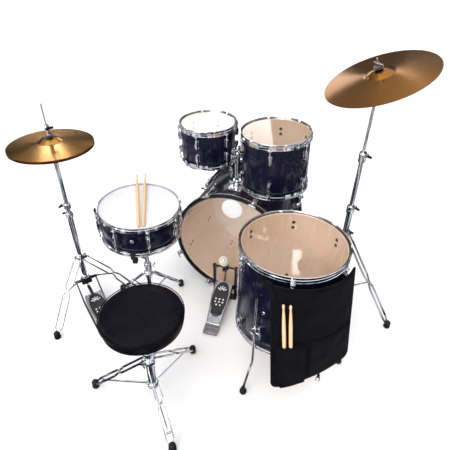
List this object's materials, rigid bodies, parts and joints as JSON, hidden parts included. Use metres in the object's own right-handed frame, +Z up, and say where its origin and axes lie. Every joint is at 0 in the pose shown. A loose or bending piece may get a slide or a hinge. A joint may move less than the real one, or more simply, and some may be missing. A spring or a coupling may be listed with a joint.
{
  "type": "acoustic drum kit",
  "caption": "Acoustic drum kit set up to play: bass drum, rack toms, floor tom, snare drum, hi-hats and crash cymbal on stands, kick pedal, throne, stick bag and sticks.",
  "frame": {"origin": "middle of the floor area that the kit covers, on the floor", "axes": "+Z up; +Y along the bass drum from the drummer to the audience; +X to the seated drummer's right"},
  "size_m": [1.7462, 1.3538, 1.249],
  "materials": {
    "chrome": "polished",
    "black_lacquer": "gloss lacquer over wood plies",
    "black_hoop": "gloss lacquer",
    "clear_film": "clear polyester film",
    "coated_film": "white coated polyester film",
    "bronze": "lathed cast bronze",
    "vinyl": "padded matte vinyl",
    "cloth": "woven nylon",
    "hickory": "satin lacquer",
    "aluminium": "cast and polished",
    "black_metal": "satin black",
    "black_rubber": "matte",
    "felt": "pressed felt",
    "black_felt": "pressed felt",
    "bare_wood": "clear sealed maple plies"
  },
  "bodies": {
    "kit": {"bass_shell": "black_lacquer", "bass_batter_head": "clear_film", "bass_front_head": "coated_film", "bass_batter_hoop": "black_hoop", "bass_front_hoop": "black_hoop", "tom_mount_base": "chrome", "floor_tom_shell": "black_lacquer", "floor_tom_top_head": "clear_film", "floor_tom_bottom_head": "clear_film", "floor_tom_top_hoop": "chrome", "floor_tom_bottom_hoop": "chrome", "stick_bag": "cloth", "snare_stand_base": "chrome", "hihat_stand_base": "chrome", "crash_stand_base": "chrome", "throne_base": "chrome", "kick_pedal_base": "black_metal"},
    "spur_left": {"bass_spur_left": "chrome"},
    "spur_right": {"bass_spur_right": "chrome"},
    "tom_post": {"tom_post": "chrome"},
    "tom1_arm": {"tom1_arm": "chrome"},
    "tom2_arm": {"tom2_arm": "chrome"},
    "tom1": {"tom1_shell": "black_lacquer", "tom1_top_head": "coated_film", "tom1_bottom_head": "clear_film", "tom1_top_hoop": "chrome", "tom1_bottom_hoop": "chrome"},
    "tom2": {"tom2_shell": "black_lacquer", "tom2_top_head": "clear_film", "tom2_bottom_head": "clear_film", "tom2_top_hoop": "chrome", "tom2_bottom_hoop": "chrome"},
    "floor_leg_1": {"floor_tom_leg_1": "chrome"},
    "floor_leg_2": {"floor_tom_leg_2": "chrome"},
    "floor_leg_3": {"floor_tom_leg_3": "chrome"},
    "snare": {"snare_basket": "chrome", "snare_shell": "black_lacquer", "snare_top_head": "coated_film", "snare_bottom_head": "clear_film", "snare_top_hoop": "chrome", "snare_bottom_hoop": "chrome"},
    "snare_lever": {"snare_throw_off_lever": "chrome"},
    "stick_1": {"stick_1": "hickory"},
    "stick_2": {"stick_2": "hickory"},
    "bag_stick_1": {"bag_stick_1": "hickory"},
    "bag_stick_2": {"bag_stick_2": "hickory"},
    "hihat_upper": {"hihat_upper_tube": "chrome", "hihat_bottom_cymbal": "bronze"},
    "hihat_rod": {"hihat_pull_rod": "chrome"},
    "hihat_clutch": {"hihat_clutch": "chrome", "hihat_top_cymbal": "bronze"},
    "hihat_pedal": {"hihat_footboard": "aluminium"},
    "crash_middle": {"crash_middle_tube": "chrome"},
    "crash_top": {"crash_top_tube": "chrome"},
    "crash_tilter": {"crash_tilter": "chrome"},
    "crash_cymbal": {"crash_cymbal": "bronze"},
    "throne_post": {"throne_post": "chrome"},
    "throne_seat": {"throne_seat": "vinyl"},
    "kick_footboard": {"kick_pedal_footboard": "aluminium"},
    "kick_beater": {"kick_pedal_beater": "chrome"}
  },
  "joints": [
    {"name": "bass_spur_left_fold", "type": "hinge", "parent": "kit", "child": "spur_left", "pos_m": [-0.27229, 0.55252, 0.297], "axis": [-1, 0, 0], "range_deg": [0, 100]},
    {"name": "bass_spur_right_fold", "type": "hinge", "parent": "kit", "child": "spur_right", "pos_m": [0.31171, 0.55252, 0.297], "axis": [-1, 0, 0], "range_deg": [0, 100]},
    {"name": "tom_post_height", "type": "slide", "parent": "kit", "child": "tom_post", "axis": [0, 0, 1], "range_m": [0, 0.06]},
    {"name": "tom1_swivel", "type": "hinge", "parent": "tom_post", "child": "tom1_arm", "pos_m": [0.01471, 0.34452, 0.757], "axis": [0, 0, 1], "range_deg": [-12, 12]},
    {"name": "tom1_tilt", "type": "hinge", "parent": "tom1_arm", "child": "tom1", "pos_m": [-0.01029, 0.34452, 0.757], "axis": [1, 0, 0], "range_deg": [-8, 18]},
    {"name": "tom2_swivel", "type": "hinge", "parent": "tom_post", "child": "tom2_arm", "pos_m": [0.01471, 0.34452, 0.787], "axis": [0, 0, 1], "range_deg": [-12, 12]},
    {"name": "tom2_tilt", "type": "hinge", "parent": "tom2_arm", "child": "tom2", "pos_m": [0.03971, 0.34452, 0.787], "axis": [1, 0, 0], "range_deg": [-8, 18]},
    {"name": "floor_leg_1_height", "type": "slide", "parent": "kit", "child": "floor_leg_1", "axis": [0, 0, 1], "range_m": [-0.06, 0.08]},
    {"name": "floor_leg_2_height", "type": "slide", "parent": "kit", "child": "floor_leg_2", "axis": [0, 0, 1], "range_m": [-0.06, 0.08]},
    {"name": "floor_leg_3_height", "type": "slide", "parent": "kit", "child": "floor_leg_3", "axis": [0, 0, 1], "range_m": [-0.06, 0.08]},
    {"name": "snare_height", "type": "slide", "parent": "kit", "child": "snare", "axis": [0, 0, 1], "range_m": [-0.02, 0.08]},
    {"name": "snare_throw_off", "type": "hinge", "parent": "snare", "child": "snare_lever", "pos_m": [-0.52939, -0.07331, 0.52189], "axis": [0.3418, -0.9389, -0.041], "range_deg": [0, 95]},
    {"name": "stick_1_lift", "type": "slide", "parent": "snare", "child": "stick_1", "axis": [0, 0, 1], "range_m": [0, 0.3]},
    {"name": "stick_2_lift", "type": "slide", "parent": "snare", "child": "stick_2", "axis": [0, 0, 1], "range_m": [0, 0.3]},
    {"name": "bag_stick_1_pull", "type": "slide", "parent": "kit", "child": "bag_stick_1", "axis": [-0.1123, 0.024, 0.9934], "range_m": [0, 0.3]},
    {"name": "bag_stick_2_pull", "type": "slide", "parent": "kit", "child": "bag_stick_2", "axis": [-0.1048, 0.0015, 0.9945], "range_m": [0, 0.3]},
    {"name": "hihat_height", "type": "slide", "parent": "kit", "child": "hihat_upper", "axis": [0, 0, 1], "range_m": [-0.02, 0.08]},
    {"name": "hihat_clutch_height", "type": "slide", "parent": "hihat_rod", "child": "hihat_clutch", "axis": [0, 0, 1], "range_m": [-0.02, 0.08]},
    {"name": "hihat_pedal", "type": "hinge", "parent": "kit", "child": "hihat_pedal", "pos_m": [-0.41618, -0.26427, 0.024], "axis": [-0.5878, -0.809, 0], "range_deg": [0, 2], "stiffness_Nm_per_rad": 16, "springref_deg": -28.65},
    {"name": "hihat_rod_pull", "type": "slide", "parent": "kit", "child": "hihat_rod", "axis": [0, 0, 1], "range_m": [-0.0095, 0]},
    {"name": "crash_lower_height", "type": "slide", "parent": "kit", "child": "crash_middle", "axis": [0, 0, 1], "range_m": [-0.15, 0.15]},
    {"name": "crash_upper_height", "type": "slide", "parent": "crash_middle", "child": "crash_top", "axis": [0, 0, 1], "range_m": [-0.15, 0.15]},
    {"name": "crash_tilt", "type": "hinge", "parent": "crash_top", "child": "crash_tilter", "pos_m": [0.57209, 0.30992, 1.14377], "axis": [0.5417, -0.8406, 0], "range_deg": [-60, 25]},
    {"name": "crash_rock", "type": "hinge", "parent": "crash_tilter", "child": "crash_cymbal", "pos_m": [0.55265, 0.29739, 1.19696], "axis": [0.7709, 0.4968, 0.3987], "range_deg": [-10, 10], "stiffness_Nm_per_rad": 6},
    {"name": "throne_height", "type": "slide", "parent": "kit", "child": "throne_post", "axis": [0, 0, 1], "range_m": [-0.06, 0.12]},
    {"name": "throne_swivel", "type": "hinge", "parent": "throne_post", "child": "throne_seat", "pos_m": [-0.06329, -0.47848, 0.44], "axis": [0, 0, 1], "continuous": true},
    {"name": "kick_pedal", "type": "hinge", "parent": "kit", "child": "kick_footboard", "pos_m": [0.04058, -0.06383, 0.026], "axis": [-0.9971, -0.0758, 0], "range_deg": [0, 14], "stiffness_Nm_per_rad": 5, "springref_deg": -34.38},
    {"name": "kick_beater", "type": "hinge", "parent": "kit", "child": "kick_beater", "pos_m": [0.02336, 0.16252, 0.207], "axis": [-0.9971, -0.0758, 0], "range_deg": [0, 57]}
  ],
  "couplings": [
    {"joint": "kick_beater", "follows": "kick_pedal", "ratio": 4},
    {"joint": "hihat_rod_pull", "follows": "hihat_pedal", "m_per_rad": -0.27},
    {"joint": "hihat_clutch_height", "follows": "hihat_height", "ratio": 1}
  ]
}
